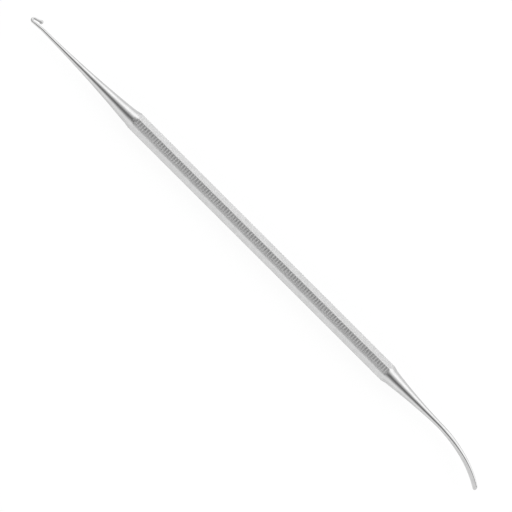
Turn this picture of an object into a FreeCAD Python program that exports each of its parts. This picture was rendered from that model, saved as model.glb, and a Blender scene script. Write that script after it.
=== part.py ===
import FreeCAD, Part
import math
import os

import Sketcher
from FreeCAD import Placement, Rotation, Vector

# Vein hook and spatula turned, milled and forged from one octagon bar of stainless steel.
# X runs from the hook end to the spatula end, and the bar lies on its bottom flat at Z = 0.
# Both working ends bend in one plane that is turned about the bar's axis, in line with a corner.

SIZES = (
    ("acrossFlats", 5.5, "octagon bar, flat to flat"),
    ("groovePitch", 0.87, "grip grooves, centre to centre"),
    ("grooveCount", 112, "grip grooves, an even count so that a land sits at mid-length"),
    ("grooveWidth", 0.6, "groove mouth along the bar"),
    ("grooveDepth", 0.15, "groove floor below the flat"),
    ("fadeStart", 0.2, "bare strip beside the smooth flat's corner"),
    ("fadeLength", 0.8, "ramp on which a groove reaches its depth"),
    ("shoulderStart", 48.9, "from mid-length to where the shoulder cones leave the bar's corners"),
    ("hookShoulderEnd", 51.1, "from mid-length to the end of the cone on the hook side"),
    ("hookShoulderWidth", 4.96, "diameter there"),
    ("hookNeckEnd", 85.1, "from mid-length to the end of the turned neck on the hook side"),
    ("hookNeckWidth", 0.96, "diameter there"),
    ("hookNeckSweep", 380.0, "radius of the hollow taper on the hook side"),
    ("bladeShoulderEnd", 51.2, "from mid-length to the end of the cone on the spatula side"),
    ("bladeShoulderWidth", 4.72, "diameter there"),
    ("bladeNeckEnd", 70.2, "from mid-length to the end of the turned neck on the spatula side"),
    ("bladeNeckWidth", 1.68, "diameter there"),
    ("bladeNeckSweep", 180.0, "radius of the hollow taper on the spatula side"),
    ("workPlaneTilt", 22.5, "turn of the working ends' plane about the bar's axis, degrees"),
    ("dipRadius", 12.0, "bend that sets the hook wire away from its mouth"),
    ("dipAngle", 6.0, "angle of that set, degrees"),
    ("dipRun", 2.84, "straight wire between the set and the hook's bend"),
    ("bendRadius", 0.56, "hook bend, on the wire's centre line"),
    ("bendWire", 0.76, "wire diameter where the bend begins"),
    ("armAngle", 17.0, "rise of the hook's arm from the bar's axis, degrees"),
    ("armRun", 1.34, "straight arm between the bend and the bead"),
    ("armWire", 0.72, "wire diameter where the bead begins"),
    ("beadWidth", 1.2, "diameter of the bead on the hook's tip"),
    ("beadBlend", 0.6, "hollow radius between the arm and the bead"),
    ("bladeSweep", 34.5, "radius of the spatula's curve, on its centre line"),
    ("bladeAngle", 34.3, "angle that the spatula turns through, degrees"),
    ("bladeWidth", 3.05, "spatula width at the tip"),
    ("bladeThickness", 0.62, "spatula thickness at the tip"),
    ("tongueCrown", 2.4, "plan radius of the spatula's end"),
    ("tongueCorner", 0.75, "plan radius of the spatula's two end corners"),
)

doc = FreeCAD.newDocument("VeinHook")
sheet = doc.addObject("Spreadsheet::Sheet", "Sizes")
for row, (alias, value, meaning) in enumerate(SIZES, start=1):
    sheet.set(f"A{row}", meaning)
    sheet.set(f"B{row}", str(value))
    sheet.setAlias(f"B{row}", alias)
doc.recompute()

SIDES = 8
STEP = 2 * math.pi / SIDES
# The smooth flat faces up and away from the side that the hook opens to: its lower edge is corner 0.
SMOOTH_EDGE = 3.5 * STEP
# How far cutting outlines reach past the metal that they take away.
TOOL_CLEARANCE = 0.4
# Shares of the spatula's length at which its sections are laid.
BLADE_STATIONS = (0.25, 0.5, 0.75, 1.0)
# The corners of each section take this share of its half thickness, so both long edges are nearly round.
EDGE_ROUNDNESS = 0.88
# The tongue's outline passes the spatula's sides by this much, so that it takes nothing off them.
TONGUE_PASS = 0.02
# Half of each short arc of the round root, which grows into a flat of the later sections.
ROOT_FLAT = math.radians(14)
WORK_PLANE = Placement(Vector(), Rotation(Vector(1, 0, 0), -sheet.workPlaneTilt))


def bind(target, path, expression):
    """Tie a property or constraint to the sheet, so that it follows the size it names."""
    target.setExpression(path, expression)


def sketch_at(body, name, placement):
    """Start a sketch on the body's XY plane, moved by the placement."""
    plane = next(item for item in body.Origin.OriginFeatures if item.Role == "XY_Plane")
    sketch = body.newObject("Sketcher::SketchObject", name)
    sketch.AttachmentSupport = [(plane, "")]
    sketch.MapMode = "FlatFace"
    sketch.AttachmentOffset = placement
    return sketch


def bar_axis(body):
    """The body's own X axis, as a reference for turning."""
    return (next(item for item in body.Origin.OriginFeatures if item.Role == "X_Axis"), [""])


def across_bar(x):
    """A plane square to the bar at x, with its sketch axes along Y and Z."""
    return Placement(Vector(x, 0, 0), Rotation(Vector(0, 1, 0), Vector(0, 0, 1), Vector(1, 0, 0), "XYZ"))


def chain(sketch, edges, closed=True):
    """Add edges end to end and join them where their ends meet."""
    count = len(edges)
    for edge in edges:
        sketch.addGeometry(edge, False)
    for index in range(count if closed else count - 1):
        following = (index + 1) % count
        pairs = [(here, there) for here in (1, 2) for there in (1, 2)]
        here, there = min(pairs, key=lambda ends: sketch.getPoint(index, ends[0]).distanceToPoint(
            sketch.getPoint(following, ends[1])))
        sketch.addConstraint(Sketcher.Constraint("Coincident", index, here, following, there))


def pin(sketch, edge, x_expression, y_expression):
    """Fix the nearer end of an edge at the place that two expressions on the sheet give."""
    values = [float(sheet.evalExpression(expression)) for expression in (x_expression, y_expression)]
    end = min((1, 2), key=lambda side: sketch.getPoint(edge, side).distanceToPoint(Vector(*values, 0)))
    for kind, value, expression in zip(("DistanceX", "DistanceY"), values, (x_expression, y_expression)):
        index = sketch.addConstraint(Sketcher.Constraint(kind, -1, 1, edge, end, value))
        bind(sketch, f"Constraints[{index}]", expression)


def arc_between(start, end, radius, centre_side):
    """The short arc from start to end whose centre lies on the side that the vector points to."""
    middle = (start + end) / 2
    half = start.distanceToPoint(end) / 2
    off = Vector(-(end - start).y, (end - start).x, 0).normalize()
    if off.dot(centre_side) < 0:
        off = off * -1
    bulge = radius - math.sqrt(radius * radius - half * half)
    return Part.Arc(start, middle - off * bulge, end)


def octagon_corner(x, index, apothem):
    """Corner of the bar's section at x, counted from the smooth flat's lower edge round the underside."""
    angle = SMOOTH_EDGE + STEP * index
    radius = apothem / math.cos(STEP / 2)
    return Vector(x, radius * math.cos(angle), radius * math.sin(angle))


def octagon_sketch(body, x):
    """The bar's section: a regular octagon with one flat square to Z, sized across its flats."""
    sketch = sketch_at(body, "BarSection", across_bar(x))
    corners = [octagon_corner(0, index, sheet.acrossFlats / 2) for index in range(SIDES)]
    flat = [Vector(corner.y, corner.z, 0) for corner in corners]
    chain(sketch, [Part.LineSegment(flat[i], flat[(i + 1) % SIDES]) for i in range(SIDES)])
    ring = sketch.addGeometry(Part.Circle(Vector(), Vector(0, 0, 1), flat[0].Length), True)
    sketch.addConstraint(Sketcher.Constraint("Coincident", ring, 3, -1, 1))
    for index in range(SIDES):
        sketch.addConstraint(Sketcher.Constraint("PointOnObject", index, 1, ring))
    for index in range(1, SIDES):
        sketch.addConstraint(Sketcher.Constraint("Equal", 0, index))
    upright = next(i for i in range(SIDES) if abs(flat[i].x - flat[(i + 1) % SIDES].x) < 0.001)
    sketch.addConstraint(Sketcher.Constraint("Vertical", upright))
    opposite = (upright + SIDES // 2) % SIDES
    across = Sketcher.Constraint("Distance", opposite, 1, upright, sheet.acrossFlats)
    bind(sketch, f"Constraints[{sketch.addConstraint(across)}]", "Sizes.acrossFlats")
    return sketch


def grip_shape():
    """Octagon bar with grooves milled across seven flats, each running out beside the smooth one.

    The skin is laid face by face and sewn. Every groove meets its neighbours in a mitre at each corner,
    which 112 cuts in turn would reach far more slowly.
    """
    apothem = sheet.acrossFlats / 2
    floor = apothem - sheet.grooveDepth
    pitch = sheet.groovePitch
    centres = [(index - (sheet.grooveCount - 1) / 2) * pitch for index in range(int(sheet.grooveCount))]
    ends = (centres[0] - pitch / 2, centres[-1] + pitch / 2)

    def beside_smooth(x, run, depth=0.0):
        """The two points, on the flats beside the smooth one, at a run from its corners and a depth."""
        return [
            edge + (inner - edge).normalize() * run - (edge + inner - Vector(2 * x, 0, 0)).normalize() * depth
            for edge, inner in (
                (octagon_corner(x, 0, apothem), octagon_corner(x, 1, apothem)),
                (octagon_corner(x, SIDES - 1, apothem), octagon_corner(x, SIDES - 2, apothem)),
            )
        ]

    def row(x, depth):
        """Points of a groove's lip or floor, between the places where it reaches its full depth."""
        first, last = beside_smooth(x, sheet.fadeStart + sheet.fadeLength, depth)
        middle = [octagon_corner(x, index, apothem - depth) for index in range(1, SIDES - 1)]
        return [first] + middle + [last]

    def face(*points):
        """A flat face inside the loop of points."""
        return Part.Face(Part.makePolygon(list(points) + [points[0]]))

    def land(start, end, index):
        """Bare strip of one flat between two places along the bar."""
        return face(*(octagon_corner(x, near, apothem)
                      for x, near in ((start, index), (start, index + 1), (end, index + 1), (end, index))))

    faces = []
    combs = ([], [])
    lip = ends[0]
    for centre in centres:
        left, right = centre - sheet.grooveWidth / 2, centre + sheet.grooveWidth / 2
        bottom = row(centre, sheet.grooveDepth)
        starts = beside_smooth(centre, sheet.fadeStart)
        for x in (left, right):
            top = row(x, 0.0)
            for index in range(SIDES - 1):
                faces.append(face(top[index], top[index + 1], bottom[index + 1], bottom[index]))
            faces.append(face(starts[0], top[0], bottom[0]))
            faces.append(face(starts[1], top[-1], bottom[-1]))
            for side, near in ((0, 1), (1, SIDES - 2)):
                corner, shoulder = octagon_corner(x, near, apothem), top[0 if side == 0 else -1]
                combs[side].extend([corner, shoulder, starts[side]] if x == left else [shoulder, corner])
        for index in range(1, SIDES - 2):
            faces.append(land(lip, left, index))
        lip = right
    for index in range(1, SIDES - 2):
        faces.append(land(lip, ends[1], index))
    for side, near, far in ((0, 1, 0), (1, SIDES - 2, SIDES - 1)):
        faces.append(face(octagon_corner(ends[0], near, apothem), *combs[side],
                          octagon_corner(ends[1], near, apothem), octagon_corner(ends[1], far, apothem),
                          octagon_corner(ends[0], far, apothem)))
    smooth_flat = ((ends[0], 0), (ends[1], 0), (ends[1], SIDES - 1), (ends[0], SIDES - 1))
    faces.append(face(*(octagon_corner(x, index, apothem) for x, index in smooth_flat)))
    for x in ends:
        faces.append(face(*(octagon_corner(x, index, apothem) for index in range(SIDES))))
    skin = Part.Compound(faces)
    skin.sewShape()
    solid = Part.Solid(skin)
    if solid.Volume < 0:
        solid.reverse()
    return solid


def turned_neck(body, side, end, shoulder, names):
    """Pad bar stock out from the grip, then turn it down to a shoulder cone and a hollow taper."""
    grip_end = side * sheet.groovePitch * sheet.grooveCount / 2
    stock = body.newObject("PartDesign::Pad", "Stock")
    stock.Profile = octagon_sketch(body, grip_end)
    stock.Reversed = side < 0
    bind(stock, "Length", f"Sizes.{names['end']} - Sizes.groovePitch * Sizes.grooveCount / 2")
    doc.recompute()

    clear = sheet.acrossFlats / 2 / math.cos(STEP / 2) + TOOL_CLEARANCE
    cone_start = Vector(side * sheet.shoulderStart, sheet.acrossFlats / 2 / math.cos(STEP / 2), 0)
    cone_end = Vector(side * shoulder[0], shoulder[1] / 2, 0)
    neck_end = Vector(side * end[0], end[1] / 2, 0)
    lead = cone_start + (cone_start - cone_end).normalize() * TOOL_CLEARANCE
    taper = arc_between(cone_end, neck_end, sheet.get(names["sweep"]), Vector(0, 1, 0))
    upright = Placement(Vector(), Rotation(Vector(1, 0, 0), 90))
    profile = sketch_at(body, "NeckProfile", upright)
    far, near = Vector(neck_end.x, clear, 0), Vector(lead.x, clear, 0)
    chain(profile, [
        Part.LineSegment(lead, cone_end), taper, Part.LineSegment(neck_end, far),
        Part.LineSegment(far, near), Part.LineSegment(near, lead),
    ])
    sign = "" if side > 0 else "-"
    pin(profile, 0, f"{sign}Sizes.{names['shoulder']}", f"Sizes.{names['shoulderWidth']} / 2")
    pin(profile, 2, f"{sign}Sizes.{names['end']}", f"Sizes.{names['endWidth']} / 2")
    cut = body.newObject("PartDesign::Groove", "NeckTurning")
    cut.Profile = profile
    cut.ReferenceAxis = bar_axis(body)
    cut.Angle = 360
    doc.recompute()
    return cut


def circle_sketch(body, name, placement, alias):
    """A round wire section whose diameter follows one size on the sheet."""
    sketch = sketch_at(body, name, placement)
    sketch.addGeometry(Part.Circle(Vector(), Vector(0, 0, 1), sheet.get(alias) / 2), False)
    sketch.addConstraint(Sketcher.Constraint("Coincident", 0, 3, -1, 1))
    index = sketch.addConstraint(Sketcher.Constraint("Diameter", 0, sheet.get(alias)))
    bind(sketch, f"Constraints[{index}]", f"Sizes.{alias}")
    return sketch


def across_path(point, heading):
    """A plane square to a path in the work plane: its X lies across the plane, its Z along the path."""
    along = Vector(math.cos(heading), math.sin(heading), 0)
    across = Vector(0, 0, 1)
    return WORK_PLANE * Placement(point, Rotation(across, along.cross(across), along, "XYZ"))


def hook_body():
    """Neck, wire, tight bend and bead of the hook end."""
    body = doc.addObject("PartDesign::Body", "HookEnd")
    turned_neck(
        body, -1, (sheet.hookNeckEnd, sheet.hookNeckWidth),
        (sheet.hookShoulderEnd, sheet.hookShoulderWidth),
        {"end": "hookNeckEnd", "endWidth": "hookNeckWidth", "shoulder": "hookShoulderEnd",
         "shoulderWidth": "hookShoulderWidth", "sweep": "hookNeckSweep"},
    )
    dip, rise = math.radians(sheet.dipAngle), math.radians(sheet.armAngle)
    root = Vector(-sheet.hookNeckEnd, 0, 0)

    def on_arc(centre, radius, angle):
        """Point of the work plane at a radius and angle from a centre."""
        return centre + Vector(math.cos(angle), math.sin(angle), 0) * radius

    dip_centre = root - Vector(0, sheet.dipRadius, 0)
    dip_end = on_arc(dip_centre, sheet.dipRadius, math.pi / 2 + dip)
    dip_arc = Part.Arc(root, on_arc(dip_centre, sheet.dipRadius, math.pi / 2 + dip / 2), dip_end)
    bend_start = dip_end - Vector(math.cos(dip), math.sin(dip), 0) * sheet.dipRun
    bend_centre = bend_start + Vector(-math.sin(dip), math.cos(dip), 0) * sheet.bendRadius
    first, last = dip - math.pi / 2, rise + math.pi / 2 - 2 * math.pi
    bend_end = on_arc(bend_centre, sheet.bendRadius, last)
    bend_arc = Part.Arc(bend_start, on_arc(bend_centre, sheet.bendRadius, (first + last) / 2), bend_end)
    arm_end = bend_end + Vector(math.cos(rise), math.sin(rise), 0) * sheet.armRun

    path = sketch_at(body, "WirePath", WORK_PLANE)
    chain(path, [
        dip_arc, Part.LineSegment(dip_end, bend_start), bend_arc, Part.LineSegment(bend_end, arm_end),
    ], closed=False)
    wire = body.newObject("PartDesign::AdditivePipe", "Wire")
    wire.Profile = circle_sketch(body, "WireRoot", across_path(root, math.pi), "hookNeckWidth")
    wire.Spine = path
    wire.Transformation = "Multisection"
    wire.Sections = [
        (circle_sketch(body, "WireBend", across_path(bend_start, math.pi + dip), "bendWire"), [""]),
        (circle_sketch(body, "WireArm", across_path(arm_end, rise), "armWire"), [""]),
    ]
    doc.recompute()

    bead, arm, blend = sheet.beadWidth / 2, sheet.armWire / 2, sheet.beadBlend
    reach = math.sqrt((bead + blend) ** 2 - (arm + blend) ** 2)
    arm_way = Vector(math.cos(rise), math.sin(rise), 0)
    seat = WORK_PLANE * Placement(arm_end + arm_way * reach, Rotation(Vector(0, 0, 1), sheet.armAngle))
    start, hollow = Vector(-reach, arm, 0), Vector(-reach, arm + blend, 0)
    meet = hollow * (bead / (bead + blend))
    nose = Vector(bead, 0, 0)
    profile = sketch_at(body, "BeadProfile", seat)
    chain(profile, [
        Part.LineSegment(Vector(-reach, 0, 0), start),
        arc_between(start, meet, blend, Vector(0, 1, 0)),
        Part.Arc(meet, Vector(0, bead, 0), nose),
        Part.LineSegment(nose, Vector(-reach, 0, 0)),
    ])
    turned = body.newObject("PartDesign::Revolution", "Bead")
    turned.Profile = profile
    turned.ReferenceAxis = (profile, ["H_Axis"])
    turned.Angle = 360
    body.Tip = turned
    doc.recompute()
    return body


def blade_section(body, name, heading, width, thickness):
    """One section of the spatula: a rounded rectangle square to its curve."""
    point = Vector(sheet.bladeNeckEnd + sheet.bladeSweep * math.sin(heading),
                   -sheet.bladeSweep * (1 - math.cos(heading)), 0)
    sketch = sketch_at(body, name, across_path(point, -heading))
    half_w, half_t = width / 2, thickness / 2
    corner = half_t * EDGE_ROUNDNESS
    slant = corner * math.sqrt(0.5)
    flats = (half_w - corner, half_t - corner)
    ring = []
    for sx, sy in ((1, 1), (-1, 1), (-1, -1), (1, -1)):
        hub = Vector(sx * flats[0], sy * flats[1], 0)
        side, top = hub + Vector(sx * corner, 0, 0), hub + Vector(0, sy * corner, 0)
        mid = hub + Vector(sx * slant, sy * slant, 0)
        ring.append((side, mid, top) if sx * sy > 0 else (top, mid, side))
    edges = []
    for index, (begin, mid, end) in enumerate(ring):
        edges.append(Part.Arc(begin, mid, end))
        edges.append(Part.LineSegment(end, ring[(index + 1) % 4][0]))
    chain(sketch, edges)
    return sketch


def root_section(body):
    """The round root of the spatula, parted into eight arcs that match the later sections."""
    sketch = sketch_at(body, "BladeRoot", across_path(Vector(sheet.bladeNeckEnd, 0, 0), 0.0))
    radius = sheet.bladeNeckWidth / 2
    edges = []
    for index in range(4):
        quarter = index * math.pi / 2
        marks = (quarter + ROOT_FLAT, quarter + math.pi / 2 - ROOT_FLAT, quarter + math.pi / 2 + ROOT_FLAT)
        points = [Vector(math.cos(mark), math.sin(mark), 0) * radius for mark in
                  (marks[0], (marks[0] + marks[1]) / 2, marks[1], (marks[1] + marks[2]) / 2, marks[2])]
        edges.append(Part.Arc(points[0], points[1], points[2]))
        edges.append(Part.Arc(points[2], points[3], points[4]))
    chain(sketch, edges)
    return sketch


def blade_body():
    """Neck and curved spatula, forged from round to flat and ground to a tongue."""
    body = doc.addObject("PartDesign::Body", "BladeEnd")
    turned_neck(
        body, 1, (sheet.bladeNeckEnd, sheet.bladeNeckWidth),
        (sheet.bladeShoulderEnd, sheet.bladeShoulderWidth),
        {"end": "bladeNeckEnd", "endWidth": "bladeNeckWidth", "shoulder": "bladeShoulderEnd",
         "shoulderWidth": "bladeShoulderWidth", "sweep": "bladeNeckSweep"},
    )
    turn = math.radians(sheet.bladeAngle)
    loft = body.newObject("PartDesign::AdditiveLoft", "Blade")
    loft.Profile = root_section(body)
    sections = []
    for index, share in enumerate(BLADE_STATIONS):
        ease = share * share * (3 - 2 * share)
        width = sheet.bladeNeckWidth + (sheet.bladeWidth - sheet.bladeNeckWidth) * ease
        thickness = sheet.bladeNeckWidth + (sheet.bladeThickness - sheet.bladeNeckWidth) * ease
        section = blade_section(body, f"Blade{index + 1}", turn * share, width, thickness)
        sections.append((section, [""]))
    loft.Sections = sections
    doc.recompute()

    half, crown, corner = sheet.bladeWidth / 2 + TONGUE_PASS, sheet.tongueCrown, sheet.tongueCorner
    hub = Vector(half - corner, math.sqrt((crown - corner) ** 2 - (half - corner) ** 2) - crown, 0)
    rim = Vector(0, -crown, 0)
    meet = rim + (hub - rim).normalize() * crown
    side = Vector(half, hub.y, 0)
    knee = hub + ((meet - hub).normalize() + (side - hub).normalize()).normalize() * corner

    def mirror(point):
        """The same point on the spatula's other side."""
        return Vector(-point.x, point.y, 0)

    clear = TOOL_CLEARANCE
    outer, above = Vector(half + clear, hub.y, 0), Vector(half + clear, clear, 0)
    tip = Vector(sheet.bladeNeckEnd + sheet.bladeSweep * math.sin(turn),
                 -sheet.bladeSweep * (1 - math.cos(turn)), 0)
    along = Vector(math.cos(turn), -math.sin(turn), 0)
    across = Vector(0, 0, 1)
    plan = WORK_PLANE * Placement(tip, Rotation(across, along, across.cross(along), "XYZ"))
    outline = sketch_at(body, "TongueOutline", plan)
    chain(outline, [
        Part.LineSegment(outer, side), Part.Arc(side, knee, meet), Part.Arc(meet, Vector(), mirror(meet)),
        Part.Arc(mirror(meet), mirror(knee), mirror(side)), Part.LineSegment(mirror(side), mirror(outer)),
        Part.LineSegment(mirror(outer), mirror(above)), Part.LineSegment(mirror(above), above),
        Part.LineSegment(above, outer),
    ])
    trim = body.newObject("PartDesign::Pocket", "Tongue")
    trim.Profile = outline
    bind(trim, "Length", "Sizes.bladeWidth + Sizes.bladeNeckWidth")
    trim.Midplane = True
    doc.recompute()
    body.Tip = trim
    return body


hook_end = hook_body()
blade_end = blade_body()
grip = doc.addObject("Part::Feature", "Grip")
grip.Shape = grip_shape()

tool = doc.addObject("Part::MultiFuse", "VeinHook")
tool.Label = "vein_hook"
tool.Shapes = [hook_end, grip, blade_end]
tool.Refine = False
bind(tool, "Placement.Base.z", "Sizes.acrossFlats / 2")
doc.recompute()

for item in doc.Objects:
    if "Invalid" in item.State or "Error" in item.State:
        raise RuntimeError(f"{item.Name} did not build: {item.State}")
shape = tool.Shape
if shape.isNull() or not shape.isValid() or len(shape.Solids) != 1:
    raise RuntimeError("the tool is not one sound solid")
os.makedirs("parts", exist_ok=True)
shape.exportStep(f"parts/{tool.Label}.step")
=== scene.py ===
"""Looks of a one-piece stainless vein hook: ribbed octagon grip, beaded hook and curved spatula.

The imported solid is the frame. One finer skin stands for it, made from the same sizes in millimetres:
corners are softened as a polisher leaves them, and every groove keeps its place. The skin rides on
the part's one body, in the frame's own metres.
"""

import logging
import math
from dataclasses import dataclass, field
from enum import Enum

import bpy
import numpy as np
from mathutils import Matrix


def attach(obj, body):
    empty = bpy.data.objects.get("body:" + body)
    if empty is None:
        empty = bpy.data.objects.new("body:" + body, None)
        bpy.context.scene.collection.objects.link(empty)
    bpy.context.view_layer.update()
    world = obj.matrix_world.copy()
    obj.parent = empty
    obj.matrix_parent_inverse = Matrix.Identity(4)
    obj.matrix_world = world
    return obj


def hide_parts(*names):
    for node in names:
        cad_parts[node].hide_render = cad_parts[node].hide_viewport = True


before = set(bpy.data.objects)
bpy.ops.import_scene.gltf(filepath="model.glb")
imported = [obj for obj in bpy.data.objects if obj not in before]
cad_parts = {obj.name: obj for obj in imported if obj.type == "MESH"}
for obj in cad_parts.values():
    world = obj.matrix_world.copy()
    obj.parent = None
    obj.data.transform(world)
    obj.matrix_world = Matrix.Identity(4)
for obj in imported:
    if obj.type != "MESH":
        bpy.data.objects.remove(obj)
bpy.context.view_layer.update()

LOG = logging.getLogger("vein_hook")
MILLIMETRE = 0.001
NODE = "vein_hook"
WHITE = (1.0, 1.0, 1.0, 1.0)

Numbers = float | np.ndarray
Place = tuple[float, float] | np.ndarray

# Sizes of the bar that several sub-assemblies need, in millimetres.
ACROSS_FLATS = 5.5
CONE_START = 48.9
FACES = 8
FACE_TURN = 2 * math.pi / FACES
BAR_CORNER = ACROSS_FLATS / 2 / math.cos(FACE_TURN / 2)

# Directions in the frame: the plane of the two bends holds X and INWARD, and ACROSS is square to it.
WORK_TILT = FACE_TURN / 2
ALONG = np.array([1.0, 0.0, 0.0])
INWARD = np.array([0.0, math.cos(WORK_TILT), -math.sin(WORK_TILT)])
ACROSS = np.array([0.0, math.sin(WORK_TILT), math.cos(WORK_TILT)])

# Angles round the bar within one of its eight faces, closer together towards the soft corners, and
# the directions of those angles, inward and across.
OCTANT = (-22.5, -22.2, -21.3, -14.5, -7.0, 0.0, 7.0, 14.5, 21.3, 22.2)
ANGLES = np.array([face * FACE_TURN + math.radians(step) for face in range(FACES) for step in OCTANT])
SPOKES = np.stack([np.cos(ANGLES + WORK_TILT), np.sin(ANGLES + WORK_TILT)], axis=1)

# How crisp a corner is: the higher, the smaller its radius.
CRISP = 280.0
TINY = 1e-6

# Nearly all the values of a noise texture lie between these two.
NOISE_SPAN = {"From_Min": 0.3, "From_Max": 0.7}


class Polish(Enum):
    """How far a surface was brushed: 0 for buffed bright, 1 for satin."""

    BUFFED = 0.0
    SMOOTH_FLAT = 0.45
    SATIN = 1.0


def linear(hex_colour: str) -> tuple[float, float, float, float]:
    """Turn an sRGB hex colour into linear light for a shader.

    Args:
        hex_colour: Six hex digits after a hash sign.

    Returns:
        Red, green, blue and an alpha of one, in linear light.
    """
    channels = [int(hex_colour[place : place + 2], 16) / 255 for place in (1, 3, 5)]
    light = [c / 12.92 if c <= 0.04045 else ((c + 0.055) / 1.055) ** 2.4 for c in channels]
    return (light[0], light[1], light[2], 1.0)


def smooth(low: float, high: float, value: Numbers) -> Numbers:
    """Ease from 0 at low to 1 at high.

    Args:
        low: Where the ramp starts.
        high: Where the ramp ends.
        value: A number or an array of numbers.

    Returns:
        The eased share, of the same shape as the value.
    """
    share = np.clip((value - low) / (high - low), 0.0, 1.0)
    return share * share * (3.0 - 2.0 * share)


def softened(apothems: np.ndarray, crispness: Numbers) -> np.ndarray:
    """Radius of an octagon with soft corners, seen from its centre.

    Args:
        apothems: Distance of each of the eight flats at each angle.
        crispness: Higher means crisper corners, one number or one for each angle.

    Returns:
        The radius in each direction.
    """
    total = np.zeros_like(ANGLES)
    for face in range(FACES):
        facing = np.maximum(np.cos(ANGLES - face * FACE_TURN), TINY)
        total += (facing / apothems[face]) ** crispness
    return total ** (-1.0 / crispness)


def lesser(first: np.ndarray, second: float) -> np.ndarray:
    """Give the smaller of two radii, with the edge between them softened."""
    return (first**-CRISP + second**-CRISP) ** (-1.0 / CRISP)


class Nodes:
    """A node tree that adds nodes with their settings and links in one call."""

    def __init__(self, tree: bpy.types.NodeTree) -> None:
        """Empty the tree and keep it.

        Args:
            tree: The material's or world's node tree.
        """
        self.tree = tree
        tree.nodes.clear()

    def add(self, kind: str, settings: dict[str, object] | None = None, **inputs: object) -> bpy.types.Node:
        """Add a node, set its properties and fill its inputs.

        Args:
            kind: The node's Blender type name.
            settings: Node properties by name.
            **inputs: Input values or sockets, by socket name with underscores for spaces, or _0, _1
                and so on by place.

        Returns:
            The new node.
        """
        node = self.tree.nodes.new(kind)
        for name, value in (settings or {}).items():
            setattr(node, name, value)
        for name, value in inputs.items():
            key = int(name[1:]) if name[0] == "_" else name.replace("_", " ")
            socket = node.inputs[key]
            if isinstance(value, bpy.types.NodeSocket):
                self.tree.links.new(value, socket)
            else:
                socket.default_value = value
        return node


@dataclass(frozen=True)
class Truing:
    """How far hand-trued necks stand off the bar's axis, towards -Y, in millimetres.

    A neck steps aside within its first few millimetres, and the photographed one leans a little more
    on its way to the hook. The spatula comes back to the axis before its tip.
    """

    # Place along the bar where a neck's first step is complete.
    settled: float = 53.0
    hook_step: float = 0.12
    # Millimetres aside for each millimetre along.
    hook_lean: float = 0.003
    blade_step: float = 0.06
    root_step: float = 0.05
    root_span: tuple[float, float] = (68.0, 74.0)
    return_span: tuple[float, float] = (77.0, 85.0)

    def off_axis(self, x: float) -> float:
        """Give the offset at a place along the bar.

        Args:
            x: Place along the bar, in millimetres from mid-length.

        Returns:
            Millimetres towards -Y, a quarter of one at most.
        """
        hook_side = self.hook_step * smooth(CONE_START, self.settled, -x)
        hook_side += self.hook_lean * max(0.0, -x - CONE_START)
        blade_side = self.blade_step * smooth(CONE_START, self.settled, x)
        blade_side += self.root_step * smooth(*self.root_span, x)
        blade_side -= (self.blade_step + self.root_step) * smooth(*self.return_span, x)
        return float(hook_side + blade_side)


@dataclass
class Skin:
    """Closed rows of points from the bead's nose to the tip of the spatula, each point with its finish."""

    truing: Truing = Truing()
    points: list[np.ndarray] = field(default_factory=list)
    satin: list[np.ndarray] = field(default_factory=list)
    depth: list[np.ndarray] = field(default_factory=list)

    def put(
        self,
        centre: Place,
        heading: float,
        outline: np.ndarray,
        satin: Numbers = Polish.BUFFED.value,
        depth: Numbers = 0.0,
    ) -> None:
        """Add a row of points square to the path.

        Args:
            centre: The path's point in the plane of the bends, along X and inward, in millimetres.
            heading: The path's direction in that plane, in radians.
            outline: Offsets from the path, inward and across, one row a point.
            satin: How satin each point is, from 0 to 1.
            depth: How deep each point lies in a groove, from 0 to 1.
        """
        off_axis = np.array([0.0, self.truing.off_axis(centre[0]), 0.0])
        base = ALONG * centre[0] + INWARD * centre[1] - off_axis
        side = -math.sin(heading) * ALONG + math.cos(heading) * INWARD
        self.points.append(base + outline[:, :1] * side + outline[:, 1:] * ACROSS)
        self.satin.append(np.broadcast_to(satin, ANGLES.shape))
        self.depth.append(np.broadcast_to(depth, ANGLES.shape))

    def ring(
        self,
        centre: Place,
        heading: float,
        radius: Numbers,
        satin: Numbers = Polish.BUFFED.value,
        depth: Numbers = 0.0,
    ) -> None:
        """Add a row of points at a radius, or at one radius for each direction.

        Args:
            centre: The path's point in the plane of the bends, in millimetres.
            heading: The path's direction in that plane, in radians.
            radius: Distance of the points from the path, in millimetres.
            satin: How satin each point is, from 0 to 1.
            depth: How deep each point lies in a groove, from 0 to 1.
        """
        outline = SPOKES * np.broadcast_to(radius, ANGLES.shape)[:, None]
        self.put(centre, heading, outline, satin, depth)

    def mesh(self, name: str, lift: float) -> bpy.types.Mesh:
        """Join the rows into one closed mesh in metres, with its finish kept on the points.

        Args:
            name: The mesh's name.
            lift: How far the bar's axis lies above the frame's origin, in millimetres.

        Returns:
            The mesh.
        """
        count, last = len(ANGLES), len(self.points) - 1
        verts = (np.concatenate(self.points) + np.array([0.0, 0.0, lift])) * MILLIMETRE
        low = np.arange(last)[:, None] * count + np.arange(count)
        after = np.roll(low, -1, axis=1)
        quads = np.stack([low + count, after + count, after, low], axis=2).reshape(-1, 4)
        ends = [list(range(count)), [last * count + spot for spot in range(count - 1, -1, -1)]]
        mesh = bpy.data.meshes.new(name)
        mesh.from_pydata(verts.tolist(), [], quads.tolist() + ends)
        for finish, rows in (("satin", self.satin), ("depth", self.depth)):
            layer = mesh.attributes.new(finish, "FLOAT", "POINT")
            layer.data.foreach_set("value", np.concatenate(rows).astype(np.float32))
        mesh.polygons.foreach_set("use_smooth", [True] * len(mesh.polygons))
        mesh.validate()
        return mesh


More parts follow.
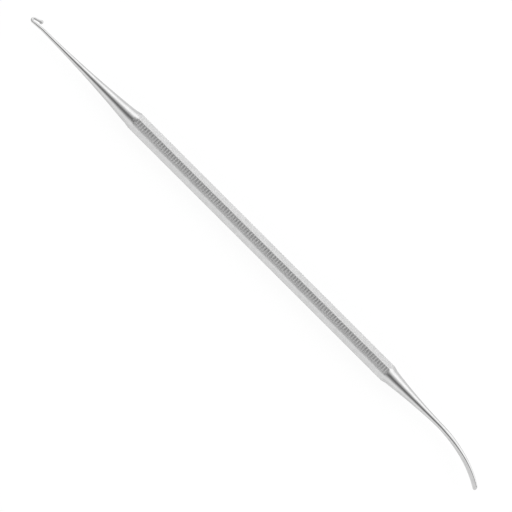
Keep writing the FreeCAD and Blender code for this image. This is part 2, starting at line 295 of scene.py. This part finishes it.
@dataclass(frozen=True)
class Neck:
    """One turned neck: a short cone off the bar and a long, slightly hollow taper, in millimetres."""

    side: int
    cone_end: float
    cone_width: float
    end: float
    end_width: float
    sweep: float
    extra_grooves: int
    plain_rows: int
    taper_rows: int = 44

    def radius(self, x: float) -> float:
        """Give the radius of the neck at a distance from mid-length.

        Args:
            x: Distance from mid-length, always positive.

        Returns:
            The turned radius, which passes the bar's corners where the cone starts.
        """
        cone = self.cone_width / 2
        if x < self.cone_end:
            return cone + (self.cone_end - x) * (BAR_CORNER - cone) / (self.cone_end - CONE_START)
        start, stop = np.array([self.cone_end, cone]), np.array([self.end, self.end_width / 2])
        chord = stop - start
        length = math.hypot(*chord)
        up = np.array([-chord[1], chord[0]]) / length
        centre = (start + stop) / 2 + up * math.sqrt(self.sweep**2 - (length / 2) ** 2)
        return float(centre[1] - math.sqrt(self.sweep**2 - (x - centre[0]) ** 2))


@dataclass(frozen=True)
class Grip:
    """The ribbed octagon bar with one smooth flat, in millimetres and degrees."""

    pitch: float = 0.87
    grooves: int = 112
    groove_width: float = 0.6
    groove_depth: float = 0.15
    # Half the length of a soft lip and of the groove's floor, and the share of the depth reached there.
    groove_lip: float = 0.03
    lip_drop: float = 0.09
    floor_drop: float = 0.93
    # A groove runs out over this stretch, counted from the smooth flat's corner.
    fade_start: float = 0.2
    fade_length: float = 0.8
    smooth_face: int = 3
    # The corner beside the smooth flat is round up to the first angle aside and crisp from the second.
    worn_crispness: float = 18.0
    worn_span: tuple[float, float] = (18.0, 36.0)
    # Half of the smooth flat's stretch round the bar, as an angle.
    ground_half: float = 21.0
    # In radians: points past this angle from a flat lie on other flats, so its tangent isn't needed there.
    turn_limit: float = 1.2
    # The wheel that buffed the necks reached from before the cone's start to past it.
    wheel_span: tuple[float, float] = (-0.6, 1.6)
    # How far before the cone's start the bar is first compared with the neck.
    cone_margin: float = 1.5

    def groove_rows(self, centre: float) -> list[tuple[float, float]]:
        """Give the rows across one groove, with soft lips and a narrow floor.

        Args:
            centre: Place of the groove's floor along the bar.

        Returns:
            Places along the bar, each with the drop of the flats there.
        """
        half, lip = self.groove_width / 2, self.groove_lip
        wall = [(half + lip, 0.0), (half - lip, self.lip_drop), (lip, self.floor_drop)]
        shape = [(-offset, share) for offset, share in wall] + [(0.0, 1.0)] + wall[::-1]
        return [(centre + offset, self.groove_depth * share) for offset, share in shape]

    def worn(self) -> np.ndarray:
        """Give the radius of the lands, with the corner that grinding the smooth flat wore round.

        Returns:
            The radius in each direction.
        """
        aside = np.abs(ANGLES - (self.smooth_face - 0.5) * FACE_TURN)
        start, stop = (math.radians(degrees) for degrees in self.worn_span)
        crispness = self.worn_crispness + (CRISP - self.worn_crispness) * smooth(start, stop, aside)
        return softened(np.full((FACES, len(ANGLES)), ACROSS_FLATS / 2), crispness)

    def grooved(self, drop: float) -> np.ndarray:
        """Give the radius of the bar with its flats dropped, as on the walls and floor of a groove.

        Args:
            drop: How far the grooved flats lie below their lands.

        Returns:
            The radius in each direction, with the drop running out beside the smooth flat.
        """
        apothem = ACROSS_FLATS / 2
        corner = apothem * math.tan(FACE_TURN / 2)
        apothems = np.full((FACES, len(ANGLES)), apothem)
        for face in range(FACES):
            gap = (face - self.smooth_face) % FACES
            if gap == 0:
                continue
            share = np.ones(len(ANGLES))
            if gap in (1, FACES - 1):
                turn = (ANGLES - face * FACE_TURN + math.pi) % (2 * math.pi) - math.pi
                slide = apothem * np.tan(np.clip(turn, -self.turn_limit, self.turn_limit))
                beside = corner + slide if gap == 1 else corner - slide
                share = smooth(self.fade_start, self.fade_start + self.fade_length, beside)
            apothems[face] -= drop * share
        return softened(apothems, CRISP)

    def lay_row(self, skin: Skin, x: float, drop: float, neck: Neck) -> None:
        """Lay one row across the bar, or across a neck where that has cut the bar away.

        Args:
            skin: The rows laid so far.
            x: Place along the bar from mid-length.
            drop: How far the grooved flats lie below their lands here.
            neck: The neck at this end of the bar.
        """
        land = self.worn()
        radius = np.minimum(land, self.grooved(drop))
        ground = np.abs(ANGLES - self.smooth_face * FACE_TURN) < math.radians(self.ground_half)
        satin = np.where(ground, Polish.SMOOTH_FLAT.value, Polish.SATIN.value)
        start, stop = (CONE_START + reach for reach in self.wheel_span)
        satin = satin * (1.0 - smooth(start, stop, abs(x)))
        if abs(x) > CONE_START - self.cone_margin:
            turned = neck.radius(abs(x))
            land, radius = lesser(land, turned), lesser(radius, turned)
        depth = np.clip((land - radius) / self.groove_depth, 0.0, 1.0)
        skin.ring((x, 0.0), 0.0, radius, satin, depth)

    def lay(self, skin: Skin, hook_neck: Neck, blade_neck: Neck) -> None:
        """Lay the grooved bar between its two necks.

        Args:
            skin: The rows laid so far.
            hook_neck: The neck on the hook's side.
            blade_neck: The neck on the spatula's side.
        """
        first = -(self.grooves - 1) / 2 * self.pitch
        for groove in range(self.grooves):
            for x, drop in self.groove_rows(first + groove * self.pitch):
                self.lay_row(skin, x, drop, hook_neck if x < 0 else blade_neck)
        LOG.info("grip: %d grooves", self.grooves)

    def lay_neck(self, skin: Skin, neck: Neck) -> None:
        """Lay a neck, with the grooves that run on over its cone.

        Args:
            skin: The rows laid so far.
            neck: The neck.
        """
        shoulder = self.pitch * self.grooves / 2
        rows: list[tuple[float, float]] = [(shoulder, 0.0)]
        for groove in range(neck.extra_grooves):
            rows += self.groove_rows(shoulder + (groove + 0.5) * self.pitch)
        plain = np.linspace(shoulder + neck.extra_grooves * self.pitch, neck.cone_end, neck.plain_rows)
        taper = np.linspace(neck.cone_end, neck.end, neck.taper_rows)[1:]
        rows += [(x, 0.0) for x in (*plain, *taper)]
        for x, drop in sorted(rows, reverse=neck.side < 0):
            self.lay_row(skin, neck.side * x, drop, neck)
        LOG.info("neck: %.1f mm to %.1f mm", CONE_START, neck.end)


@dataclass(frozen=True)
class Hook:
    """The wire that dips, turns back and ends in a bead, in millimetres and degrees."""

    dip_radius: float = 12.0
    dip_angle: float = 6.0
    dip_run: float = 2.84
    bend_radius: float = 0.56
    bend_wire: float = 0.76
    arm_angle: float = 17.0
    arm_run: float = 1.34
    arm_wire: float = 0.72
    bead: float = 1.2
    blend: float = 0.6
    # How satin the hand-finished arm is, and the wire where the bend begins.
    arm_satin: float = 0.9
    bend_satin: float = 0.36
    # Rows of points along the arm, the bend, the straight run, the dip and the bead's three stretches.
    arm_rows: int = 10
    bend_rows: int = 34
    run_rows: int = 16
    dip_rows: int = 9
    nose_rows: int = 14
    throat_rows: int = 9
    blend_rows: int = 8
    # Where the first row lies on the bead, in radians from its nose.
    nose_angle: float = 0.06

    def lay(self, skin: Skin, neck: Neck) -> None:
        """Lay the bead, the arm, the bend and the wire up to the neck.

        Args:
            skin: The rows laid so far.
            neck: The neck that the wire grows from.
        """
        dip, rise = math.radians(self.dip_angle), math.radians(self.arm_angle)
        dip_centre = np.array([-neck.end, -self.dip_radius])
        dip_end = dip_centre + self.dip_radius * np.array([-math.sin(dip), math.cos(dip)])
        bend_start = dip_end - self.dip_run * np.array([math.cos(dip), math.sin(dip)])
        bend_centre = bend_start + self.bend_radius * np.array([-math.sin(dip), math.cos(dip)])
        arm = np.array([math.cos(rise), math.sin(rise)])
        bend_end = bend_centre + self.bend_radius * np.array([-arm[1], arm[0]])
        arm_end = bend_end + self.arm_run * arm
        back, thin, thick = rise + math.pi, self.arm_wire / 2, self.bend_wire / 2

        self.lay_bead(skin, arm_end, arm, back)
        for share in np.linspace(0.0, 1.0, self.arm_rows)[1:-1]:
            skin.ring(arm_end + (bend_end - arm_end) * share, back, thin, self.arm_satin)
        for share in np.linspace(0.0, 1.0, self.bend_rows):
            heading = back + share * (math.pi - rise + dip)
            spot = bend_centre + self.bend_radius * np.array([math.sin(heading), -math.cos(heading)])
            satin = self.arm_satin + (self.bend_satin - self.arm_satin) * share
            skin.ring(spot, heading, thin + (thick - thin) * share, satin)

        # The wire thickens evenly over the straight run and the dip, up to the neck.
        growth = (neck.end_width / 2 - thick) / (self.dip_run + self.dip_radius * dip)
        for share in np.linspace(0.0, 1.0, self.run_rows)[1:]:
            spot = bend_start + (dip_end - bend_start) * share
            skin.ring(spot, dip, thick + growth * share * self.dip_run, self.bend_satin * (1.0 - share))
        for share in np.linspace(0.0, 1.0, self.dip_rows)[1:-1]:
            heading = dip * (1.0 - share)
            spot = dip_centre + self.dip_radius * np.array([-math.sin(heading), math.cos(heading)])
            skin.ring(spot, heading, thick + growth * (self.dip_run + self.dip_radius * dip * share))
        LOG.info("hook: bend of %.2f mm, bead of %.1f mm", self.bend_radius, self.bead)

    def lay_bead(self, skin: Skin, arm_end: np.ndarray, arm: np.ndarray, back: float) -> None:
        """Lay the bead from its nose to where its blend meets the wire.

        Args:
            skin: The rows laid so far.
            arm_end: Where the blend meets the wire.
            arm: Direction of the wire towards the bead.
            back: Heading from the bead to the bend, in radians.
        """
        bead, wire, blend = self.bead / 2, self.arm_wire / 2, self.blend
        reach = math.sqrt((bead + blend) ** 2 - (wire + blend) ** 2)
        waist = reach * bead / (bead + blend)
        nose = np.linspace(self.nose_angle, math.pi / 2, self.nose_rows)
        places = [bead * math.cos(angle) for angle in nose]
        places += list(np.linspace(0.0, -waist, self.throat_rows)[1:])
        places += list(np.linspace(-waist, -reach, self.blend_rows)[1:])
        for place in places:
            if place > -waist:
                radius = math.sqrt(max(bead**2 - place**2, TINY))
            else:
                radius = wire + blend - math.sqrt(max(blend**2 - (place + reach) ** 2, 0.0))
            skin.ring(arm_end + arm * (reach + place), back, radius, self.arm_satin)


@dataclass(frozen=True)
class Spatula:
    """The curved blade: round at its root, then flat with round edges, up to a tongue.

    Sizes are in millimetres and the angle of its curve in degrees.
    """

    sweep: float = 34.5
    angle: float = 34.6
    width: float = 3.05
    thickness: float = 0.62
    # How round the long edges are: 1 would be half circles.
    edge_roundness: float = 0.88
    # Share of the blade's length over which its round root gives way to edges.
    root_share: float = 0.16
    # Radii of the tongue's end and of the two corners beside it.
    crown: float = 2.4
    corner: float = 0.75
    # Radius of the end's edge, and half the thickness that is left where it closes.
    end_round: float = 0.2
    end_left: float = 0.02
    thinning: float = 0.24
    thinning_run: float = 3.2
    corner_pull: float = 4.0
    blade_rows: int = 46
    tongue_rows: int = 16
    # How far the last row stops short of the end, in radians of the sine that spaces the rows.
    tongue_stop: float = 0.03

    def tongue(self, gap: float, hub: float) -> float:
        """Give the share of the full width that is left near the end.

        Args:
            gap: Distance from the end, along the blade.
            hub: Distance from the end at which the tongue's corners start.

        Returns:
            The share, from 0 at the end to 1.
        """
        half, reach = self.width / 2, self.crown - self.corner
        meet = self.crown * (1.0 - (self.crown - hub) / reach)
        if gap >= hub:
            return 1.0
        if gap > meet:
            return (half - self.corner + math.sqrt(max(self.corner**2 - (hub - gap) ** 2, 0.0))) / half
        return math.sqrt(max(self.crown**2 - (self.crown - gap) ** 2, 0.0)) / half

    def lay(self, skin: Skin, neck: Neck) -> None:
        """Lay the blade along its sweep.

        Args:
            skin: The rows laid so far.
            neck: The neck that the blade grows from.
        """
        length = self.sweep * math.radians(self.angle)
        reach = self.crown - self.corner
        hub = self.crown - math.sqrt(reach**2 - (self.width / 2 - self.corner) ** 2)
        places = list(np.linspace(0.0, length - hub, self.blade_rows)[1:-1])
        steps = np.linspace(0.0, math.pi / 2 - self.tongue_stop, self.tongue_rows)
        places += [length - hub * (1 - math.sin(step)) for step in steps]
        for place in places:
            share, gap = place / length, length - place
            ease = smooth(0.0, 1.0, share)
            half_width = (neck.end_width + (self.width - neck.end_width) * ease) / 2
            half_width *= self.tongue(gap, hub)
            half_depth = (neck.end_width + (self.thickness - neck.end_width) * ease) / 2
            # The back was ground thin towards the end, and the end itself rounded over.
            ground = self.thinning / 2 * max(0.0, 1.0 - gap / self.thinning_run) ** 2
            half_depth -= ground
            if gap < self.end_round:
                half_depth -= self.end_round - math.sqrt(self.end_round**2 - (self.end_round - gap) ** 2)
            half_depth = max(half_depth, self.end_left)
            edge = float(smooth(0.0, self.root_share, share))
            roundness = 1.0 - (1.0 - self.edge_roundness) * edge
            angle = place / self.sweep
            outward = np.array([math.sin(angle), math.cos(angle)])
            spot = np.array([neck.end, -self.sweep]) + (self.sweep - ground) * outward
            corner = min(half_depth, half_width) * roundness
            skin.put(spot, -angle, self.rounded_bar(half_depth, half_width, corner))
        LOG.info("spatula: %.2f mm wide, %.2f mm thick", self.width, self.thickness)

    def rounded_bar(self, half_depth: float, half_width: float, corner: float) -> np.ndarray:
        """Lay points round a rectangle with round corners, by the direction each point faces.

        Args:
            half_depth: Half its thickness, in the plane of the bends.
            half_width: Half its width, square to that plane.
            corner: Radius of its corners.

        Returns:
            Offsets inward and across, one row a point.
        """
        flats = np.array([max(half_depth - corner, 0.0), max(half_width - corner, 0.0)])
        # The hubs of the corners are joined over a few degrees, so that the flats have points of their own.
        pull = np.clip(SPOKES * self.corner_pull, -1.0, 1.0)
        return pull * flats + corner * SPOKES


@dataclass(frozen=True)
class SteelFinish:
    """Surgical stainless steel: turned and buffed necks, satin-brushed lands, grooves left as cut.

    A buffed neck mirrors the studio in long streaks. Brushing along the bar blurs that mirror, so the
    lands look paler and flatter, and the grooves keep the darker, sharper look of the form tool. The
    grooves' colour is also a shade darker than the satin lands', which is painted shade in the grooves.
    """

    buffed_colour: str = "#d2d2d2"
    satin_colour: str = "#dadada"
    # The grooves' colour is a shade darker than the satin lands: painted shade in the grooves.
    groove_colour_with_painted_shade: str = "#d8d8d8"
    # How rough each of the three surfaces is.
    buffed: float = 0.14
    satin: float = 0.5
    groove: float = 0.26
    anisotropy: float = 0.6
    # Brush marks are 0.01 mm wide on the real bar, too fine for the picture, so they are drawn 0.12 mm
    # wide, and the turning marks on the necks 0.1 mm apart. Each mark is many times as long as wide.
    brush_width: float = 0.12
    brush_stretch: float = 40.0
    turning_pitch: float = 0.1
    turning_stretch: float = 30.0
    mark_depth: float = 0.0012
    mark_roughness: float = 0.05
    # Handling leaves broad, faint patches of a slightly darker or lighter tone.
    mottle_size: float = 1.6
    mottle_tone: float = 0.05
    # Share of the groove's depth over which the land's roughness and colour give way to the groove's.
    sunk_span: tuple[float, float] = (0.02, 0.3)

    def build(self) -> bpy.types.Material:
        """Make the steel.

        Returns:
            The material.
        """
        material = bpy.data.materials.new("brushed_and_buffed_stainless_steel")
        material.use_nodes = True
        nodes = Nodes(material.node_tree)
        satin = nodes.add("ShaderNodeAttribute", {"attribute_name": "satin"}).outputs["Fac"]
        depth = nodes.add("ShaderNodeAttribute", {"attribute_name": "depth"}).outputs["Fac"]
        place = nodes.add("ShaderNodeTexCoord").outputs["Object"]
        fine, pitch = 1 / (self.brush_width * MILLIMETRE), 1 / (self.turning_pitch * MILLIMETRE)
        brush_scale = (fine / self.brush_stretch, fine, fine)
        turning_scale = (pitch, fine / self.turning_stretch, fine / self.turning_stretch)
        along = nodes.add("ShaderNodeMapping", Vector=place, Scale=brush_scale).outputs[0]
        around = nodes.add("ShaderNodeMapping", Vector=place, Scale=turning_scale).outputs[0]
        brushed = nodes.add(
            "ShaderNodeTexNoise", Vector=along, Scale=1.0, Detail=3.0, Roughness=0.6
        ).outputs[0]
        turned = nodes.add(
            "ShaderNodeTexNoise", Vector=around, Scale=1.0, Detail=2.0, Roughness=0.5
        ).outputs[0]
        patch = 1 / (self.mottle_size * MILLIMETRE)
        mottle = nodes.add(
            "ShaderNodeTexNoise", Vector=place, Scale=patch, Detail=3.0, Roughness=0.6
        ).outputs[0]
        marks = nodes.add("ShaderNodeMix", _0=satin, _2=turned, _3=brushed).outputs[0]
        start, stop = self.sunk_span
        sunk = nodes.add("ShaderNodeMapRange", Value=depth, From_Min=start, From_Max=stop).outputs[0]

        rough = nodes.add("ShaderNodeMapRange", Value=satin, To_Min=self.buffed, To_Max=self.satin).outputs[0]
        uneven = nodes.add(
            "ShaderNodeMapRange",
            Value=marks,
            To_Min=-self.mark_roughness,
            To_Max=self.mark_roughness,
            **NOISE_SPAN,
        ).outputs[0]
        worn = nodes.add("ShaderNodeMath", {"operation": "ADD"}, _0=rough, _1=uneven).outputs[0]
        roughness = nodes.add("ShaderNodeMix", _0=sunk, _2=worn, _3=self.groove).outputs[0]

        colours = {"data_type": "RGBA"}
        buffed, brushed_tone = linear(self.buffed_colour), linear(self.satin_colour)
        land = nodes.add("ShaderNodeMix", colours, _0=satin, _6=buffed, _7=brushed_tone).outputs[2]
        # The grooves take a colour a shade darker than the satin lands: painted shade in the recesses.
        cut = linear(self.groove_colour_with_painted_shade)
        metal = nodes.add("ShaderNodeMix", colours, _0=sunk, _6=land, _7=cut).outputs[2]
        shade = nodes.add(
            "ShaderNodeMapRange",
            Value=mottle,
            To_Min=1.0 - self.mottle_tone,
            To_Max=1.0 + self.mottle_tone,
            **NOISE_SPAN,
        ).outputs[0]
        colour = nodes.add("ShaderNodeVectorMath", {"operation": "SCALE"}, _0=metal, Scale=shade).outputs[0]
        bump = nodes.add("ShaderNodeBump", Distance=self.mark_depth * MILLIMETRE, Height=marks).outputs[0]
        tangent = nodes.add("ShaderNodeTangent", {"direction_type": "RADIAL", "axis": "X"}).outputs[0]
        shader = nodes.add(
            "ShaderNodeBsdfPrincipled",
            Base_Color=colour,
            Metallic=1.0,
            Roughness=roughness,
            Normal=bump,
            Anisotropic=self.anisotropy,
            Tangent=tangent,
        )
        nodes.add("ShaderNodeOutputMaterial", Surface=shader.outputs[0])
        return material


@dataclass(frozen=True)
class Instrument:
    """The whole instrument, turned, grooved, bent and ground from one bar."""

    grip: Grip = Grip()
    hook_neck: Neck = Neck(
        side=-1,
        cone_end=51.1,
        cone_width=4.88,
        end=85.1,
        end_width=1.0,
        sweep=380.0,
        extra_grooves=2,
        plain_rows=4,
    )
    blade_neck: Neck = Neck(
        side=1,
        cone_end=51.2,
        cone_width=4.72,
        end=70.2,
        end_width=1.68,
        sweep=180.0,
        extra_grooves=1,
        plain_rows=8,
    )
    hook: Hook = Hook()
    spatula: Spatula = Spatula()
    steel: SteelFinish = SteelFinish()

    def build(self) -> bpy.types.Object:
        """Lay every row from the bead to the tip, join them and dress them in steel.

        Returns:
            The instrument's mesh object, on the frame's body.
        """
        skin = Skin()
        self.hook.lay(skin, self.hook_neck)
        self.grip.lay_neck(skin, self.hook_neck)
        self.grip.lay(skin, self.hook_neck, self.blade_neck)
        self.grip.lay_neck(skin, self.blade_neck)
        self.spatula.lay(skin, self.blade_neck)
        mesh = skin.mesh(NODE + "_skin", ACROSS_FLATS / 2)
        mesh.materials.append(self.steel.build())
        piece = bpy.data.objects.new("instrument_skin", mesh)
        bpy.context.scene.collection.objects.link(piece)
        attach(piece, "root")
        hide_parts(NODE)
        LOG.info("instrument_skin: %d rows of %d points", len(skin.points), len(ANGLES))
        return piece


@dataclass(frozen=True)
class PaperFinish:
    """Uncoated white paper, whose felted fibres scatter light evenly, so that a shadow on it looks soft."""

    # Single fibres are far too fine for the picture, so the grain is drawn 0.4 mm wide.
    grain: float = 0.4
    tone: tuple[float, float] = (0.9, 0.94)
    # How white the paper is by itself to the camera and to reflections, and how much of it stays matte
    # there and so keeps the shadow.
    camera_white: float = 0.9
    camera_matte: float = 0.16
    mirror_white: float = 0.54
    mirror_matte: float = 0.54

    def build(self) -> bpy.types.Material:
        """Make the paper.

        Returns:
            The material.
        """
        material = bpy.data.materials.new("matte_white_paper")
        material.use_nodes = True
        nodes = Nodes(material.node_tree)
        place = nodes.add("ShaderNodeTexCoord").outputs["Object"]
        grain = 1 / (self.grain * MILLIMETRE)
        fibre = nodes.add("ShaderNodeTexNoise", Vector=place, Scale=grain, Detail=2.0).outputs["Fac"]
        dark, light = self.tone
        tone = nodes.add(
            "ShaderNodeMapRange", Value=fibre, To_Min=dark, To_Max=light, **NOISE_SPAN
        ).outputs[0]

        ray = nodes.add("ShaderNodeLightPath").outputs
        seen, glossy, clear = ray["Is Camera Ray"], ray["Is Glossy Ray"], ray["Is Transmission Ray"]
        multiply, multiply_add = {"operation": "MULTIPLY"}, {"operation": "MULTIPLY_ADD"}
        mirrored = nodes.add("ShaderNodeMath", _0=glossy, _1=clear).outputs[0]
        mirror_white = nodes.add("ShaderNodeMath", multiply, _0=mirrored, _1=self.mirror_white).outputs[0]
        white = nodes.add(
            "ShaderNodeMath", multiply_add, _0=seen, _1=self.camera_white, _2=mirror_white
        ).outputs[0]
        mirror_share = nodes.add(
            "ShaderNodeMath", multiply_add, _0=mirrored, _1=self.mirror_matte - 1.0, _2=1.0
        ).outputs[0]
        share = nodes.add(
            "ShaderNodeMath", multiply_add, _0=seen, _1=self.camera_matte - 1.0, _2=mirror_share
        ).outputs[0]
        colour = nodes.add("ShaderNodeMath", multiply, _0=tone, _1=share).outputs[0]
        matte = nodes.add("ShaderNodeBsdfDiffuse", Color=colour).outputs[0]
        glow = nodes.add("ShaderNodeEmission", Strength=white).outputs[0]
        surface = nodes.add("ShaderNodeAddShader", _0=matte, _1=glow).outputs[0]
        nodes.add("ShaderNodeOutputMaterial", Surface=surface)
        return material


@dataclass(frozen=True)
class Studio:
    """A white light tent: paper below, pale walls, one softbox, and a shade round the lens above.

    The paper's side is in metres, and how far it lies below the instrument in millimetres.
    """

    paper_side: float = 4.0
    paper_drop: float = 0.02
    paper_finish: PaperFinish = PaperFinish()
    # Brightness of the tent by lean from straight up, in degrees towards +Y: the shade round the lens
    # lies at 0 and a little past it, and the softbox at 40 to 75.
    tent: tuple[tuple[float, float], ...] = (
        (-180, 1.0), (-83, 1.03), (-68, 1.07), (-55, 1.02), (-42, 0.84), (-30, 0.46), (-18, 0.24),
        (-9, 0.18), (0, 0.23), (8, 0.38), (18, 0.58), (28, 0.88), (40, 1.3), (52, 1.52), (63, 1.5),
        (75, 1.36), (90, 1.25), (110, 1.05), (180, 1.0),
    )
    # A ramp holds colours up to one, so the tent's light is divided by this and multiplied again.
    tent_scale: float = 2.0
    end_wall: float = 0.9
    end_span: tuple[float, float] = (0.88, 0.98)

    def paper(self) -> bpy.types.Object:
        """Lay the white paper, which keeps a faint shadow.

        Returns:
            The paper's object.
        """
        half = self.paper_side / 2
        corners = [(-half, -half, 0), (half, -half, 0), (half, half, 0), (-half, half, 0)]
        mesh = bpy.data.meshes.new("paper")
        mesh.from_pydata(corners, [], [(0, 1, 2, 3)])
        mesh.materials.append(self.paper_finish.build())
        paper = bpy.data.objects.new("paper", mesh)
        paper.location.z = -self.paper_drop * MILLIMETRE
        bpy.context.scene.collection.objects.link(paper)
        return paper

    def walls(self) -> None:
        """Make the tent that lights the steel and the paper, white to the camera."""
        world = bpy.data.worlds.new("tent")
        world.use_nodes = True
        bpy.context.scene.world = world
        nodes = Nodes(world.node_tree)
        direction = nodes.add("ShaderNodeTexCoord").outputs["Generated"]
        parts = nodes.add("ShaderNodeSeparateXYZ", _0=direction).outputs
        lean = nodes.add("ShaderNodeMath", {"operation": "ARCTAN2"}, _0=parts[1], _1=parts[2]).outputs[0]
        share = nodes.add("ShaderNodeMapRange", Value=lean, From_Min=-math.pi, From_Max=math.pi).outputs[0]
        bands = nodes.add("ShaderNodeValToRGB", _0=share)
        elements = bands.color_ramp.elements
        elements.remove(elements[1])
        for index, (degrees, light) in enumerate(self.tent):
            stop = elements.new((degrees + 180) / 360) if index else elements[0]
            level = light / self.tent_scale
            stop.color = (level, level, level, 1.0)

        reach = nodes.add("ShaderNodeMath", {"operation": "ABSOLUTE"}, _0=parts[0]).outputs[0]
        inner, outer = self.end_span
        ending = nodes.add("ShaderNodeMapRange", Value=reach, From_Min=inner, From_Max=outer).outputs[0]
        side = nodes.add("ShaderNodeBackground", Color=bands.outputs[0], Strength=self.tent_scale).outputs[0]
        end = nodes.add("ShaderNodeBackground", Color=WHITE, Strength=self.end_wall).outputs[0]
        lit = nodes.add("ShaderNodeMixShader", _0=ending, _1=side, _2=end).outputs[0]
        plain = nodes.add("ShaderNodeBackground", Color=WHITE, Strength=1.0).outputs[0]
        seen = nodes.add("ShaderNodeLightPath").outputs["Is Camera Ray"]
        surface = nodes.add("ShaderNodeMixShader", _0=seen, _1=lit, _2=plain).outputs[0]
        nodes.add("ShaderNodeOutputWorld", Surface=surface)

    def build(self) -> None:
        """Set up the paper and the tent."""
        self.paper()
        self.walls()
        LOG.info("studio: paper and tent")


@dataclass(frozen=True)
class TopCamera:
    """A long lens straight above the instrument, turned so that the hook points to the upper left.

    The distance is in metres, the turn in degrees and the other lengths in millimetres.
    """

    distance: float = 1.2
    pixel: float = 0.278
    picture_pixels: int = 512
    aside: float = 0.786
    below: float = -2.850
    turn: float = 44.97
    sensor: float = 36.0
    clip: tuple[float, float] = (0.05, 20.0)

    def build(self) -> None:
        """Put the camera in the scene, its distance counted from the bar's middle."""
        picture_width = self.pixel * self.picture_pixels * MILLIMETRE
        data = bpy.data.cameras.new("long_lens")
        data.type = "PERSP"
        data.sensor_width = self.sensor
        data.lens = self.sensor * self.distance / picture_width
        data.clip_start, data.clip_end = self.clip
        camera = bpy.data.objects.new("long_lens", data)
        height = self.distance + ACROSS_FLATS / 2 * MILLIMETRE
        camera.location = (self.aside * MILLIMETRE, self.below * MILLIMETRE, height)
        camera.rotation_euler = (0.0, 0.0, math.radians(self.turn))
        bpy.context.scene.collection.objects.link(camera)
        bpy.context.scene.camera = camera
        LOG.info("camera: lens of %.0f mm", data.lens)


def main() -> None:
    """Dress the frame, light it and place the camera."""
    logging.basicConfig(level=logging.INFO)
    bpy.context.scene.view_settings.view_transform = "Standard"
    Instrument().build()
    Studio().build()
    TopCamera().build()


if __name__ == "__main__":
    main()
